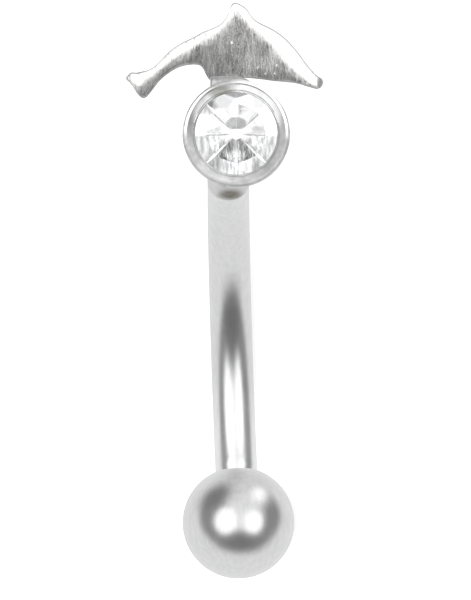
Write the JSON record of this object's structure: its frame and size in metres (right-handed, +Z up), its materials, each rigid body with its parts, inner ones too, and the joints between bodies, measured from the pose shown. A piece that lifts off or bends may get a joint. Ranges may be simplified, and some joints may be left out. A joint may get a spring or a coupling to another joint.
{
  "type": "eyebrow barbell",
  "caption": "Curved barbell for an eyebrow piercing, with a ball on one end and a bezel-set clear stone under a small leaping dolphin on the other.",
  "frame": {"origin": "on the surface the barbell lies on, under the middle of its box", "axes": "+Z up from the surface, +X from the ball towards the dolphin, and the stone faces -Y and up at 32 degrees"},
  "size_m": [0.0162, 0.0088, 0.0048],
  "materials": {
    "polished_steel": "mirror polished surgical steel",
    "satin_silver": "satin cast silver with fine brush marks, polished rim",
    "clear_stone": "clear faceted crystal, foiled at the back"
  },
  "bodies": {
    "root": {"bar": "polished_steel", "ball": "polished_steel", "charm": "satin_silver", "stone": "clear_stone"}
  },
  "joints": []
}
